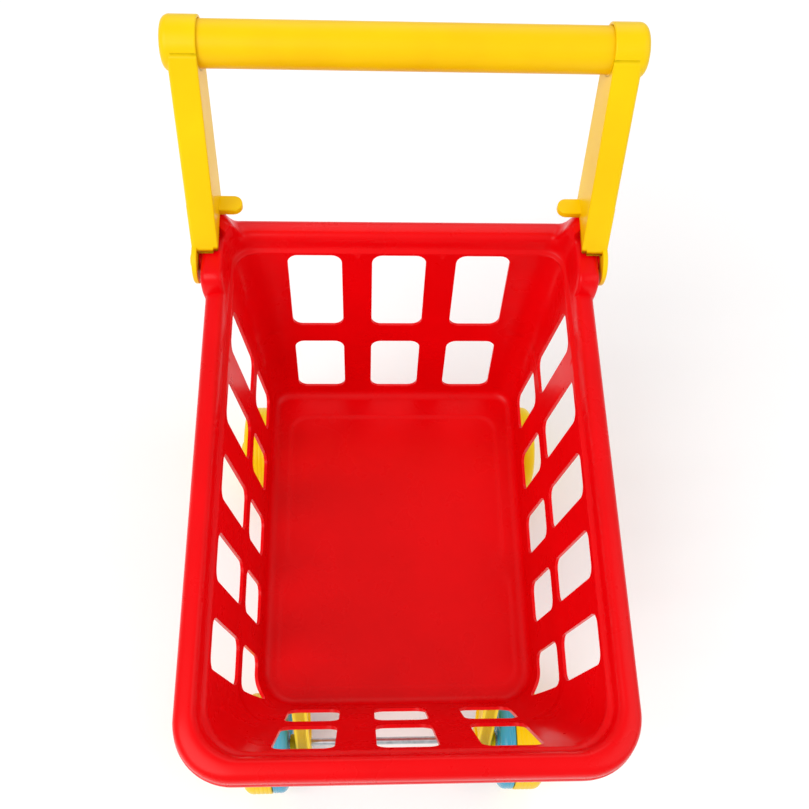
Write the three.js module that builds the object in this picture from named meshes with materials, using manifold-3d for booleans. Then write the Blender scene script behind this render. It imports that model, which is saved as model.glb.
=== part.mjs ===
// A child's moulded plastic shopping cart: an open basket with windowed walls, a fixed push handle,
// four legs under the floor, two steel axles and four free wheels.
// Millimetres, +Z up. The front of the cart faces -Y, so +X is on the right of someone looking at it
// from in front.
// A piece whose name ends in _right is on the +X side, and its twin in _left on the -X side.
// The origin is the centre of the footprint on the ground.

import * as THREE from 'three';
import { mergeVertices } from 'three/addons/utils/BufferGeometryUtils.js';
import Module from 'manifold-3d';

const wasm = await Module();
wasm.setup();

// ---------------------------------------------------------------- driving dimensions

// basket
const basketLength = 362;        // over the rim, front to back
const basketWidth = 260;         // over the rim, side to side
const rimHeight = 345;           // top of the rim above the ground
const basketDepth = 180.5;       // rim top down to the inside of the floor
const wallThickness = 2.2;
const floorThickness = 2.6;
const rimShoulder = 13;          // the plain wall ends this far below the rim top
const shoulderStep = 2.2;        // and steps out by this much
const lipDepth = 19;             // the rim's outer lip hangs this far below its top
const rimRound = 7;              // the roll of the rim over to its lip
const sideRimWidth = 17;         // outside of the rim to the wall, at the wall's top
const frontRimWidth = 17;
const backRimWidth = 21.5;
const sideDraft = 0.083;         // how far each wall leans in per millimetre of depth
const frontDraft = 0.27;
const backDraft = 0.168;
const frontCornerRadius = 34;    // plan corners of the rim
const backCornerRadius = 20;
const frontWallRadius = 25;      // and of the walls inside it
const backWallRadius = 15;
const floorFillet = 10;
const panelDepth = 0.8;          // the floor's pressed panel
const panelLength = 112;
const panelWidth = 168;
const panelCornerRadius = 14;
const panelSetBack = 50;         // middle of the panel behind the middle of the floor

// windows in the walls
const windowRadius = 7.3;
const sideColumns = 5;
const sidePitch = 51.6;
const firstColumn = 77.8;        // from the front of the rim to the middle of the first column
const sideWindowWidth = 30;
const endColumns = 3;
const frontPitch = 59.3;
const frontWindowWidth = 35.6;
const backPitch = 59;
const backWindowWidth = 37.8;
// upper row: its top below the rim's top, and its height; then the band to the lower row, whose windows
// end at a sill above the floor
const sideRows = { top: 17.6, height: 76.8, band: 11.5, sill: 20.2 };
const frontRows = { top: 19.2, height: 71.8, band: 16.8, sill: 24.5 };
const backRows = { top: 14.9, height: 75.6, band: 19, sill: 11 };

// ears that carry the handle
const earHeight = 12.5;          // above the rim top
const earLength = 37;
const earThickness = 16.2;
const earStandOff = 3.2;         // how far the ear stands out past the rim
const earNose = 9;               // round of the ear's front end
const earRoot = 6;               // how far the ear reaches down into the rim
const pinBossRadius = 7;
const cornerStepHeight = 18.4;   // the raised back corners above the rim top
const cornerStepWidth = 16;
const cornerStepLength = 22;
const cornerStepRun = 6;         // the hollow curve from the rim up to the corner
const pivotFromBack = 37.2;      // handle pin in front of the back of the rim
const pivotAboveRim = 1.7;

// handle
const handleLean = 25.4;         // degrees from upright
const handleOverhang = 11.2;     // domed ends stand out past the sides of the rim
const handleReach = 139.7;       // pin to bar, along the arm
const barSetBack = 9;            // bar behind the pin's line, square to the arm
const barDiameter = 27.4;
const barWall = 2.2;
const collarWall = 1.9;
const armWidth = 17.4;
const armWall = 2.5;
const armDepthTop = 28.7;
const armDepthFoot = 36;
const armInset = 4;              // arm's outer face inside the domed end
const lobeRadius = 15.5;
const domeLength = 5;
const pegLength = 15;
const pegWidth = 12;
const pegThickness = 5.2;
const pegFromBack = 7;           // middle of the peg in front of the back of the rim
const flangeFootUp = 31;         // where the flange is deepest, up the arm from the pin
const footClearance = 0.8;       // between the channel's level foot and the ear or the raised corner

// wheels, axles and legs
const wheelDiameter = 80;
const wheelBase = 265;
const frontAxleSetBack = 47;     // axle behind the front of the rim
const frontTrackOutside = 246;   // over the wheels
const backTrackOutside = 270;
const outerHalfWidth = 23.5;
const innerHalfWidth = 12.5;
const shoulderRadius = 8;
const innerShoulderRadius = 6;
const innerHalfStep = 0.6;       // the inner half's tread is this much lower
const faceRimRadius = 27;        // the outer face's flat rim starts here
const dishDepth = 5;
const hubRadius = 12;
const axleDiameter = 6;
const capRadius = 9;
const bushRadius = 6.5;
const legThickness = 12;
const bushLength = 5.4;
const bossHeight = 8;            // screw bosses under the floor
const bossDiameter = 10;
const footLength = 46;
const footWidth = 34;
const footThickness = 4;
const footCornerRadius = 5;
const footScrewInset = 7;        // screws in from the ends of the foot plate
const footScrewSide = 6;         // and in from its inner side
const frontFootSetBack = 46;     // middle of the foot plate behind the front axle
const backFootSetForward = 32;   // and in front of the back axle
const eyeRadius = 11;            // the leg's round end

// fixings
const pinRadius = 2.9;
const pinHeadRadius = 6;
const screwRadius = 1.4;
const screwHeadRadius = 3.2;
const screwHeadHeight = 2.2;

// clearances
const seatGap = 0.3;             // between pieces that touch
const runningGap = 0.3;          // between a turning bore and its axle, on the radius

// facets of the round pieces
const wheelFacets = 28;
const smallFacets = 14;
const screwFacets = 10;

// ---------------------------------------------------------------- derived places

const collarRadius = barDiameter / 2 + seatGap + collarWall;
const lean = THREE.MathUtils.degToRad(handleLean);
const along = new THREE.Vector2(Math.sin(lean), Math.cos(lean));
const outward = new THREE.Vector2(-Math.cos(lean), Math.sin(lean));
const pivot = new THREE.Vector2(basketLength - pivotFromBack, rimHeight + pivotAboveRim);
const barCentre = onArm(handleReach, -barSetBack);
const webFace = collarRadius - barSetBack;
const overallLength = barCentre.x + collarRadius;
const frontY = -overallLength / 2;
const lipBottom = rimHeight - lipDepth;
const wallTop = rimHeight - rimShoulder;
const floorTop = rimHeight - basketDepth;
const floorUnderside = floorTop - floorThickness;
const axleHeight = wheelDiameter / 2;
const handleWidth = basketWidth + 2 * handleOverhang;
const armOuterX = handleWidth / 2 - armInset;
const armInnerX = armOuterX - armWidth;
const earOuterX = basketWidth / 2 + earStandOff;
const earInnerX = earOuterX - earThickness;
const earTop = rimHeight + earHeight;
const pinEndX = earInnerX + 3;
const earBack = pivot.x + lobeRadius * 0.8;
const cornerTop = rimHeight + cornerStepHeight;
const stepFront = basketLength - cornerStepLength;
const footTop = floorUnderside - bossHeight - seatGap;

// A point on the side view of the arm: distance up the arm from the pin, and forward of its line.
// The result holds the distance behind the front of the rim, and the height above the ground.
function onArm(up, forward) {
  return new THREE.Vector2(
    pivot.x + up * along.x + forward * outward.x,
    pivot.y + up * along.y + forward * outward.y,
  );
}

// ---------------------------------------------------------------- making solids

// The same mesh with positions only, and its shared vertices merged.
function mergedPositions(geometry) {
  const bare = geometry.clone();
  for (const name of Object.keys(bare.attributes)) {
    if (name !== 'position') bare.deleteAttribute(name);
  }
  return mergeVertices(bare, 1e-4);
}

function solid(geometry) {
  const merged = mergedPositions(geometry);
  const vertProperties = Float32Array.from(merged.attributes.position.array);
  const triVerts = Uint32Array.from(merged.index.array);
  return new wasm.Manifold(new wasm.Mesh({ numProp: 3, vertProperties, triVerts }));
}

function geometryOf(body) {
  const mesh = body.getMesh();
  const geometry = new THREE.BufferGeometry();
  geometry.setAttribute('position', new THREE.BufferAttribute(Float32Array.from(mesh.vertProperties), 3));
  geometry.setIndex(new THREE.BufferAttribute(Uint32Array.from(mesh.triVerts), 1));
  return geometry;
}

// Mirrored in the plane X = 0, with its faces still pointing out.
function mirrored(geometry) {
  const copy = geometry.clone();
  copy.scale(-1, 1, 1);
  const index = copy.index.array;
  for (let i = 0; i < index.length; i += 3) {
    const second = index[i + 1];
    index[i + 1] = index[i + 2];
    index[i + 2] = second;
  }
  return copy;
}

// A plan outline with its own corner radii at the front and at the back.
function planRing(z, halfWidth, front, back, frontRadius, backRadius) {
  const corners = [
    [halfWidth - frontRadius, front + frontRadius, frontRadius, -Math.PI / 2],
    [halfWidth - backRadius, back - backRadius, backRadius, 0],
    [-halfWidth + backRadius, back - backRadius, backRadius, Math.PI / 2],
    [-halfWidth + frontRadius, front + frontRadius, frontRadius, Math.PI],
  ];
  const steps = 4;
  const ring = [];
  for (const [x, y, radius, start] of corners) {
    for (let i = 0; i <= steps; i += 1) {
      const angle = start + (i / steps) * (Math.PI / 2);
      ring.push(new THREE.Vector3(x + radius * Math.cos(angle), frontY + y + radius * Math.sin(angle), z));
    }
  }
  return ring;
}

// A closed skin over rings of equal count, from the lowest ring to the highest.
function loft(rings) {
  const count = rings[0].length;
  const positions = [];
  for (const ring of rings) {
    for (const point of ring) positions.push(point.x, point.y, point.z);
  }
  const index = [];
  for (let k = 0; k + 1 < rings.length; k += 1) {
    for (let i = 0; i < count; i += 1) {
      const a = k * count + i;
      const b = k * count + ((i + 1) % count);
      index.push(a, b, b + count, a, b + count, a + count);
    }
  }
  const last = (rings.length - 1) * count;
  for (let i = 1; i + 1 < count; i += 1) {
    index.push(0, i + 1, i);
    index.push(last, last + i, last + i + 1);
  }
  const geometry = new THREE.BufferGeometry();
  geometry.setAttribute('position', new THREE.Float32BufferAttribute(positions, 3));
  geometry.setIndex(index);
  return geometry;
}

// A side-view shape (distance behind the front of the rim, height) carried from x0 to x1.
function prismAcross(shape, x0, x1, curveSegments = 8) {
  const geometry = new THREE.ExtrudeGeometry(shape, { depth: x1 - x0, bevelEnabled: false, curveSegments });
  const turn = new THREE.Matrix4().makeBasis(
    new THREE.Vector3(0, 1, 0),
    new THREE.Vector3(0, 0, 1),
    new THREE.Vector3(1, 0, 0),
  );
  turn.setPosition(x0, frontY, 0);
  return geometry.applyMatrix4(turn);
}

// A front-view shape (x, height) carried from the distance d0 to d1 behind the front of the rim.
function prismBack(shape, d0, d1, curveSegments = 8) {
  const geometry = new THREE.ExtrudeGeometry(shape, { depth: d1 - d0, bevelEnabled: false, curveSegments });
  const turn = new THREE.Matrix4().makeBasis(
    new THREE.Vector3(1, 0, 0),
    new THREE.Vector3(0, 0, 1),
    new THREE.Vector3(0, -1, 0),
  );
  turn.setPosition(0, frontY + d1, 0);
  return geometry.applyMatrix4(turn);
}

function roundedRectangle(x, y, width, height, radius) {
  const shape = new THREE.Shape();
  const right = x + width / 2 - radius;
  const left = x - width / 2 + radius;
  const top = y + height / 2 - radius;
  const bottom = y - height / 2 + radius;
  shape.absarc(right, top, radius, 0, Math.PI / 2);
  shape.absarc(left, top, radius, Math.PI / 2, Math.PI);
  shape.absarc(left, bottom, radius, Math.PI, Math.PI * 1.5);
  shape.absarc(right, bottom, radius, Math.PI * 1.5, Math.PI * 2);
  shape.closePath();
  return shape;
}

function polygon(points) {
  return new THREE.Shape(points);
}

// A turned piece whose axis lies along X, from profile points [radius, x].
function turned(points, segments = 32) {
  const profile = points.map(([radius, x]) => new THREE.Vector2(radius, x));
  const geometry = new THREE.LatheGeometry(profile, segments);
  return geometry.rotateZ(-Math.PI / 2);
}

// A plain round bar along X, used to make and to cut.
function roundBar(radius, x0, x1, distance, height, segments = 24) {
  const geometry = turned([[0, x0], [radius, x0], [radius, x1], [0, x1]], segments);
  return geometry.translate(0, frontY + distance, height);
}

function uprightBar(radius, z0, z1, x, distance, segments = 20) {
  const geometry = new THREE.CylinderGeometry(radius, radius, z1 - z0, segments);
  return geometry.rotateX(Math.PI / 2).translate(x, frontY + distance, (z0 + z1) / 2);
}

// ---------------------------------------------------------------- basket

// The outline of the basket's inner wall at a height, grown outwards.
function wallRing(z, grow) {
  const depth = Math.max(0, wallTop - z);
  const halfWidth = basketWidth / 2 - sideRimWidth - sideDraft * depth + grow;
  const front = frontRimWidth + frontDraft * depth - grow;
  const back = basketLength - backRimWidth - backDraft * depth + grow;
  const frontRadius = frontWallRadius + grow;
  const backRadius = backWallRadius + grow;
  return planRing(z, halfWidth, front, back, frontRadius, backRadius);
}

// The outline of the rim, moved in from its widest.
function rimRing(z, inset) {
  const frontRadius = frontCornerRadius - inset;
  const backRadius = Math.max(4, backCornerRadius - inset);
  return planRing(z, basketWidth / 2 - inset, inset, basketLength - inset, frontRadius, backRadius);
}

function wallRingsUp(base, grow, fillet) {
  const rings = [];
  for (const turn of [0, 30, 60, 90]) {
    const angle = THREE.MathUtils.degToRad(turn);
    const z = base + fillet * (1 - Math.cos(angle));
    rings.push(wallRing(z, grow - fillet * (1 - Math.sin(angle))));
  }
  return rings;
}

function basketCavity() {
  const rings = wallRingsUp(floorTop, 0, floorFillet);
  rings.push(wallRing(wallTop, 0));
  rings.push(wallRing(wallTop + 1.5, shoulderStep));
  rings.push(wallRing(rimHeight - 5, shoulderStep + 1));
  rings.push(wallRing(rimHeight - 1.6, shoulderStep + 2.4));
  rings.push(wallRing(rimHeight + 0.4, shoulderStep + 5.2));
  return loft(rings);
}

function basketOuterWall() {
  const rings = wallRingsUp(floorUnderside, wallThickness, floorFillet + wallThickness);
  rings.push(wallRing(wallTop - 1, wallThickness));
  rings.push(wallRing(wallTop + 0.5, wallThickness + shoulderStep));
  rings.push(wallRing(rimHeight - 3, wallThickness + shoulderStep + 1));
  return loft(rings);
}

function rimPlug() {
  return loft([
    rimRing(lipBottom, 0),
    rimRing(rimHeight - rimRound, 0),
    rimRing(rimHeight - rimRound * 0.46, rimRound * 0.17),
    rimRing(rimHeight - rimRound * 0.13, rimRound * 0.51),
    rimRing(rimHeight, rimRound),
  ]);
}

function rimUnderside() {
  return loft([
    rimRing(lipBottom - 1, wallThickness),
    rimRing(rimHeight - rimRound - 0.5, wallThickness),
    rimRing(rimHeight - 3, wallThickness + 3.4),
  ]);
}

// The heights of a wall's two rows of windows: the middle of each, and how tall it is.
function windowRows(rows) {
  const lowerTop = rows.top + rows.height + rows.band;
  const lowerHeight = basketDepth - rows.sill - lowerTop;
  return [
    { drop: rows.top + rows.height / 2, height: rows.height },
    { drop: lowerTop + lowerHeight / 2, height: lowerHeight },
  ];
}

function windowCuts() {
  const cuts = [];
  const reach = basketWidth;
  for (const row of windowRows(sideRows)) {
    for (let column = 0; column < sideColumns; column += 1) {
      const middle = firstColumn + column * sidePitch;
      const height = rimHeight - row.drop;
      const shape = roundedRectangle(middle, height, sideWindowWidth, row.height, windowRadius);
      cuts.push(prismAcross(shape, -reach, reach, 3));
    }
  }
  const half = basketLength / 2;
  const ends = [
    { rows: frontRows, pitch: frontPitch, width: frontWindowWidth, from: -20, to: half },
    { rows: backRows, pitch: backPitch, width: backWindowWidth, from: half, to: basketLength + 20 },
  ];
  for (const end of ends) {
    for (const row of windowRows(end.rows)) {
      for (let column = 0; column < endColumns; column += 1) {
        const x = (column - (endColumns - 1) / 2) * end.pitch;
        const shape = roundedRectangle(x, rimHeight - row.drop, end.width, row.height, windowRadius);
        cuts.push(prismBack(shape, end.from, end.to, 3));
      }
    }
  }
  return cuts;
}

// The lug that the arm is pinned to: flat on top, with a round nose.
function ear() {
  const front = earBack - earLength;
  const shape = new THREE.Shape();
  shape.moveTo(front, rimHeight - earRoot);
  shape.lineTo(front, earTop - earNose);
  shape.absarc(front + earNose, earTop - earNose, earNose, Math.PI, Math.PI / 2, true);
  shape.lineTo(earBack, earTop);
  shape.lineTo(earBack, rimHeight - earRoot);
  shape.closePath();
  const plate = solid(prismAcross(shape, earInnerX, earOuterX, 5));
  const bossEnd = armOuterX - armWall - seatGap;
  const boss = solid(roundBar(pinBossRadius, earInnerX + 2, bossEnd, pivot.x, pivot.y));
  const pinHole = solid(roundBar(pinRadius + seatGap, pinEndX - seatGap, bossEnd + 5, pivot.x, pivot.y));
  return { body: plate.add(boss), pinHole };
}

// The rim climbs to this step at each back corner, and the handle's peg rests on it.
function cornerStep() {
  const outer = basketWidth / 2;
  const inner = outer - cornerStepWidth;
  const shape = new THREE.Shape();
  shape.moveTo(inner - cornerStepRun, rimHeight - 4);
  shape.lineTo(inner - cornerStepRun, rimHeight - 0.5);
  shape.quadraticCurveTo(inner, rimHeight, inner + 2, cornerTop);
  shape.lineTo(outer, cornerTop);
  shape.lineTo(outer, rimHeight - 4);
  shape.closePath();
  const block = solid(prismBack(shape, stepFront, basketLength, 6));
  const column = solid(loft([rimRing(rimHeight - 10, 0.2), rimRing(cornerTop + 10, 0.2)]));
  return block.intersect(column);
}

// The shallow panel pressed into the back half of the floor.
function floorPanel() {
  const floorFront = frontRimWidth + frontDraft * basketDepth;
  const floorBack = basketLength - backRimWidth - backDraft * basketDepth;
  const distance = (floorFront + floorBack) / 2 + panelSetBack;
  const shape = roundedRectangle(0, distance, panelWidth, panelLength, panelCornerRadius);
  const settings = { depth: panelDepth * 2, bevelEnabled: false, curveSegments: 4 };
  const geometry = new THREE.ExtrudeGeometry(shape, settings);
  return solid(geometry.translate(0, frontY, floorTop - panelDepth));
}

function legPlaces() {
  const frontFoot = frontAxleSetBack + frontFootSetBack;
  const backAxle = frontAxleSetBack + wheelBase;
  const backFoot = backAxle - backFootSetForward;
  return [
    { name: 'front', axle: frontAxleSetBack, foot: frontFoot, track: frontTrackOutside },
    { name: 'back', axle: backAxle, foot: backFoot, track: backTrackOutside },
  ];
}

function wheelInnerX(track) {
  return track / 2 - outerHalfWidth - seatGap - innerHalfWidth;
}

function legInnerX(track) {
  return wheelInnerX(track) - bushLength - 2 * seatGap - legThickness;
}

// Middle of a leg's foot plate, and its two screws.
function footCentreX(track) {
  return legInnerX(track) + legThickness / 2;
}

function screwPlaces(spot) {
  const offset = footLength / 2 - footScrewInset;
  const x = footCentreX(spot.track) - footWidth / 2 + footScrewSide;
  return [
    { x, distance: spot.foot - offset },
    { x, distance: spot.foot + offset },
  ];
}

function basket() {
  const outer = solid(basketOuterWall());
  const rim = solid(rimPlug()).subtract(solid(rimUnderside()).subtract(outer));
  let body = outer.add(rim).subtract(solid(basketCavity()));
  const bottom = floorUnderside - bossHeight;
  const holeRadius = screwRadius + seatGap;
  for (const spot of legPlaces()) {
    for (const screw of screwPlaces(spot)) {
      for (const x of [-screw.x, screw.x]) {
        const boss = uprightBar(bossDiameter / 2, bottom, floorUnderside + 1, x, screw.distance, 16);
        const hole = uprightBar(holeRadius, bottom - 1, floorUnderside - 0.5, x, screw.distance, 12);
        body = body.add(solid(boss)).subtract(solid(hole));
      }
    }
  }
  const lug = ear();
  const step = cornerStep();
  const extras = lug.body.add(step);
  body = body.add(extras).add(extras.mirror([1, 0, 0]));
  body = body.subtract(lug.pinHole).subtract(lug.pinHole.mirror([1, 0, 0]));
  for (const cut of windowCuts()) body = body.subtract(solid(cut));
  return geometryOf(body.subtract(floorPanel()));
}

// ---------------------------------------------------------------- handle

// One arm of the handle, on the +X side: a channel open at the back, with a domed collar for the bar
// at its head, a round lobe for the pin at its foot, and a peg that rests on the basket's corner.
function handleArm() {
  const outer = solid(prismAcross(flangeOutline(), armOuterX - armWall, armOuterX, 6));
  const lobe = solid(roundBar(lobeRadius, armOuterX - armWall, armOuterX, pivot.x, pivot.y, 32));
  const webShape = polygon([
    onArm(2, webFace),
    onArm(handleReach, webFace),
    onArm(handleReach, webFace - armWall),
    onArm(2, webFace - armWall),
  ]);
  const web = solid(prismAcross(webShape, armInnerX, armOuterX));
  const inner = solid(prismAcross(flangeOutline(), armInnerX, armInnerX + armWall, 6));
  const upper = web.add(inner).subtract(footCut(0, earTop)).subtract(footCut(stepFront, cornerTop));
  const collarEnd = handleWidth / 2;
  const collar = solid(turned(collarProfile(collarEnd), 32).translate(0, frontY + barCentre.x, barCentre.y));
  const boreDepth = collarEnd - domeLength + 1;
  const boreRadius = barDiameter / 2 + seatGap;
  const bore = solid(roundBar(boreRadius, armInnerX - 1, boreDepth, barCentre.x, barCentre.y, 32));
  const pinHole = solid(roundBar(pinRadius + seatGap, armInnerX, armOuterX + 1, pivot.x, pivot.y));
  const body = outer.add(lobe).add(upper).add(collar).add(peg());
  return geometryOf(body.subtract(bore).subtract(pinHole).subtract(barScrewHole()));
}

// Clears the channel's foot above a top that lies behind the given distance, inside the outer flange.
function footCut(distance, top) {
  const height = 2 * armDepthFoot;
  const length = basketLength;
  const middle = distance + length / 2 - footClearance;
  const shape = roundedRectangle(middle, top + footClearance - height / 2, length, height, 1);
  return solid(prismAcross(shape, armInnerX - 1, armOuterX - armWall, 2));
}

// Side view of a flange: deepest a little above the pin, and tapering to the bar.
function flangeOutline() {
  return polygon([
    onArm(0, webFace),
    onArm(handleReach, webFace),
    onArm(handleReach, webFace - armDepthTop),
    onArm(flangeFootUp, webFace - armDepthFoot),
    onArm(flangeFootUp / 3, webFace - armDepthFoot + 4),
    onArm(0, -lobeRadius),
  ]);
}

// From the collar's inner end along its wall and over the dome to the axis.
function collarProfile(end) {
  const profile = [[0, armInnerX], [collarRadius, armInnerX]];
  for (const turn of [0, 30, 60, 90]) {
    const angle = THREE.MathUtils.degToRad(turn);
    profile.push([
      collarRadius - domeLength * (1 - Math.cos(angle)),
      end - domeLength + domeLength * Math.sin(angle),
    ]);
  }
  profile.push([0, end]);
  return profile;
}

// A flat tab with a round end, standing in from the inner flange.
function peg() {
  const bottom = cornerTop + seatGap;
  const distance = basketLength - pegFromBack;
  const rootX = armInnerX + armWall;
  const tipX = armInnerX - pegLength;
  const shape = new THREE.Shape();
  const half = pegWidth / 2;
  shape.moveTo(rootX, distance - half);
  shape.lineTo(rootX, distance + half);
  shape.lineTo(tipX + half, distance + half);
  shape.absarc(tipX + half, distance, half, Math.PI / 2, Math.PI * 1.5);
  shape.closePath();
  const settings = { depth: pegThickness, bevelEnabled: false, curveSegments: 8 };
  const geometry = new THREE.ExtrudeGeometry(shape, settings);
  return solid(geometry.translate(0, frontY, bottom));
}

function handleBar() {
  const half = handleWidth / 2 - domeLength + 0.6;
  const outer = barDiameter / 2;
  const inner = outer - barWall;
  const tube = turned([[inner, -half], [outer, -half], [outer, half], [inner, half], [inner, -half]], 32);
  const body = solid(tube.translate(0, frontY + barCentre.x, barCentre.y));
  const hole = barScrewHole();
  return geometryOf(body.subtract(hole).subtract(hole.mirror([1, 0, 0])));
}

// The screw that holds the bar enters the back of the collar, square to the arm.
const barScrewX = armInnerX + armWidth / 2;

function barScrewHole() {
  const radius = screwRadius + seatGap;
  const geometry = new THREE.CylinderGeometry(radius, radius, collarRadius, 16);
  return solid(placeBehindBar(geometry.translate(0, collarRadius, 0)));
}

// Turns a piece built along +Y from the bar's axis to point backwards out of the collar.
function placeBehindBar(geometry) {
  geometry.rotateX(-lean);
  return geometry.translate(barScrewX, frontY + barCentre.x, barCentre.y);
}

function barScrew() {
  const headFrom = collarRadius + seatGap;
  const shankFrom = barDiameter / 2 - barWall - 4;
  const profile = [
    [0, shankFrom],
    [screwRadius, shankFrom],
    [screwRadius, headFrom],
    [screwHeadRadius, headFrom],
    [screwHeadRadius - 0.2, headFrom + 1.4],
    [screwHeadRadius / 2, headFrom + screwHeadHeight],
    [0, headFrom + screwHeadHeight],
  ];
  const geometry = new THREE.LatheGeometry(profile.map(([r, y]) => new THREE.Vector2(r, y)), screwFacets);
  return geometryOf(solid(placeBehindBar(geometry)));
}

// Push-in pin with a broad domed head, from outside the lobe into the ear.
function handlePin() {
  const head = armOuterX + seatGap;
  const profile = [
    [0, pinEndX],
    [pinRadius, pinEndX],
    [pinRadius, head],
    [pinHeadRadius, head],
    [pinHeadRadius - 0.4, head + 1.2],
    [3.5, head + 2.2],
    [0, head + 2.4],
  ];
  return turned(profile, smallFacets).translate(0, frontY + pivot.x, pivot.y);
}

// ---------------------------------------------------------------- legs, axles and wheels

// A leg on the +X side: a foot plate under the floor's bosses, a tapering blade and a round axle eye.
function leg(spot) {
  const x0 = legInnerX(spot.track);
  const x1 = x0 + legThickness;
  const footBottom = footTop - footThickness;
  const plateX = footCentreX(spot.track) - footWidth / 4;
  const plateShape = roundedRectangle(plateX, spot.foot, footWidth, footLength, footCornerRadius);
  const settings = { depth: footThickness, bevelEnabled: false, curveSegments: 4 };
  const plate = new THREE.ExtrudeGeometry(plateShape, settings);
  plate.translate(0, frontY, footBottom);
  const topHalf = footLength / 2 - 4;
  const eyeHalf = eyeRadius * 0.95;
  const blade = polygon([
    new THREE.Vector2(spot.foot - topHalf, footTop - 1),
    new THREE.Vector2(spot.foot + topHalf, footTop - 1),
    new THREE.Vector2(spot.axle + eyeHalf, axleHeight + 4),
    new THREE.Vector2(spot.axle - eyeHalf, axleHeight + 4),
  ]);
  const axleHole = roundBar(axleDiameter / 2 + seatGap, x0 - 1, x1 + 1, spot.axle, axleHeight);
  let body = solid(plate).add(solid(prismAcross(blade, x0, x1)));
  body = body.add(solid(roundBar(eyeRadius, x0, x1, spot.axle, axleHeight, 24)));
  body = body.subtract(solid(axleHole));
  for (const screw of screwPlaces(spot)) {
    const hole = uprightBar(screwRadius + seatGap, footBottom - 1, footTop + 1, screw.x, screw.distance, 12);
    body = body.subtract(solid(hole));
  }
  return geometryOf(body);
}

function legScrew(screw) {
  const headTop = footTop - footThickness - seatGap;
  const profile = [
    [0, headTop - screwHeadHeight],
    [screwHeadRadius / 2, headTop - screwHeadHeight],
    [screwHeadRadius - 0.1, headTop - screwHeadHeight / 2],
    [screwHeadRadius, headTop],
    [screwRadius, headTop],
    [screwRadius, floorUnderside - 1.5],
    [0, floorUnderside - 1.5],
  ];
  const geometry = new THREE.LatheGeometry(profile.map(([r, y]) => new THREE.Vector2(r, y)), screwFacets);
  return geometry.rotateX(Math.PI / 2).translate(screw.x, frontY + screw.distance, 0);
}

// A plain steel rod through both legs and both wheels.
function axle(spot) {
  const half = spot.track / 2 + 3;
  const profile = [[0, -half], [axleDiameter / 2, -half], [axleDiameter / 2, half], [0, half]];
  return turned(profile, smallFacets).translate(0, frontY + spot.axle, axleHeight);
}

// A spacer ring between a leg and its wheel.
function bush(spot) {
  const x0 = legInnerX(spot.track) + legThickness + seatGap;
  const inner = axleDiameter / 2 + seatGap;
  const x1 = x0 + bushLength;
  const profile = [[inner, x0], [bushRadius, x0], [bushRadius, x1], [inner, x1], [inner, x0]];
  return turned(profile, smallFacets).translate(0, frontY + spot.axle, axleHeight);
}

// The broad outer half of a wheel: tread, round shoulder, dished face and hub.
function wheelOuterHalf(spot) {
  const outerX = spot.track / 2;
  const innerX = outerX - outerHalfWidth;
  const radius = wheelDiameter / 2;
  const bore = axleDiameter / 2 + runningGap;
  const profile = [[bore, innerX], [radius - 1, innerX], [radius, innerX + 1]];
  for (const turn of [0, 45, 90]) {
    const angle = THREE.MathUtils.degToRad(turn);
    profile.push([
      radius - shoulderRadius * (1 - Math.cos(angle)),
      outerX - shoulderRadius * (1 - Math.sin(angle)),
    ]);
  }
  profile.push(
    [faceRimRadius, outerX],
    [faceRimRadius - 3, outerX - dishDepth],
    [hubRadius, outerX - dishDepth],
    [hubRadius - 2, outerX - dishDepth + 2],
    [bore, outerX - dishDepth + 2],
    [bore, innerX],
  );
  return turned(profile, wheelFacets).translate(0, frontY + spot.axle, axleHeight);
}

// The narrower inner half: its own rounded shoulder and a shallow dish towards the leg.
function wheelInnerHalf(spot) {
  const innerX = wheelInnerX(spot.track);
  const outerX = innerX + innerHalfWidth;
  const radius = wheelDiameter / 2;
  const bore = axleDiameter / 2 + runningGap;
  const tread = radius - innerHalfStep;
  const profile = [
    [bore, innerX + 1],
    [hubRadius - 3, innerX + 1],
    [hubRadius - 1, innerX + 4],
    [faceRimRadius - 2, innerX + 4],
    [faceRimRadius + 1, innerX],
  ];
  for (const turn of [0, 45, 90]) {
    const angle = THREE.MathUtils.degToRad(turn);
    profile.push([
      tread - innerShoulderRadius * (1 - Math.sin(angle)),
      innerX + innerShoulderRadius * (1 - Math.cos(angle)),
    ]);
  }
  profile.push([tread, outerX - 1], [tread - 1, outerX], [bore, outerX], [bore, innerX + 1]);
  return turned(profile, wheelFacets).translate(0, frontY + spot.axle, axleHeight);
}

// A domed cap pushed onto the end of the axle, inside the wheel's dish.
function axleCap(spot) {
  const face = spot.track / 2 - 3 + seatGap;
  const end = spot.track / 2 + 3 + seatGap;
  const bore = axleDiameter / 2 + seatGap;
  const profile = [
    [bore, face],
    [capRadius, face],
    [capRadius, face + 2.5],
    [capRadius - 1.5, end + 0.6],
    [capRadius - 5, end + 2],
    [0, end + 2.2],
    [0, end],
    [bore, end],
    [bore, face],
  ];
  return turned(profile, smallFacets).translate(0, frontY + spot.axle, axleHeight);
}

// ---------------------------------------------------------------- materials and assembly

function material(name, color, roughness, metalness) {
  return new THREE.MeshStandardMaterial({ name, color, roughness, metalness });
}

const redPlastic = material('red polypropylene', '#d80012', 0.34, 0);
const yellowPlastic = material('yellow polypropylene', '#ffd400', 0.36, 0);
const bluePlastic = material('blue polystyrene', '#35a9cc', 0.25, 0);
const steel = material('zinc-plated steel', '#b8bcc0', 0.3, 1);

const cart = new THREE.Group();
cart.name = 'shopping_cart';

function place(name, geometry, look) {
  const mesh = new THREE.Mesh(geometry, look);
  mesh.name = name;
  cart.add(mesh);
}

// The same piece on both sides of the cart. The builder works on the +X side.
function placePair(name, geometry, look) {
  const indexed = mergedPositions(geometry);
  place(`${name}_left`, mirrored(indexed), look);
  place(`${name}_right`, indexed, look);
}

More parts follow.
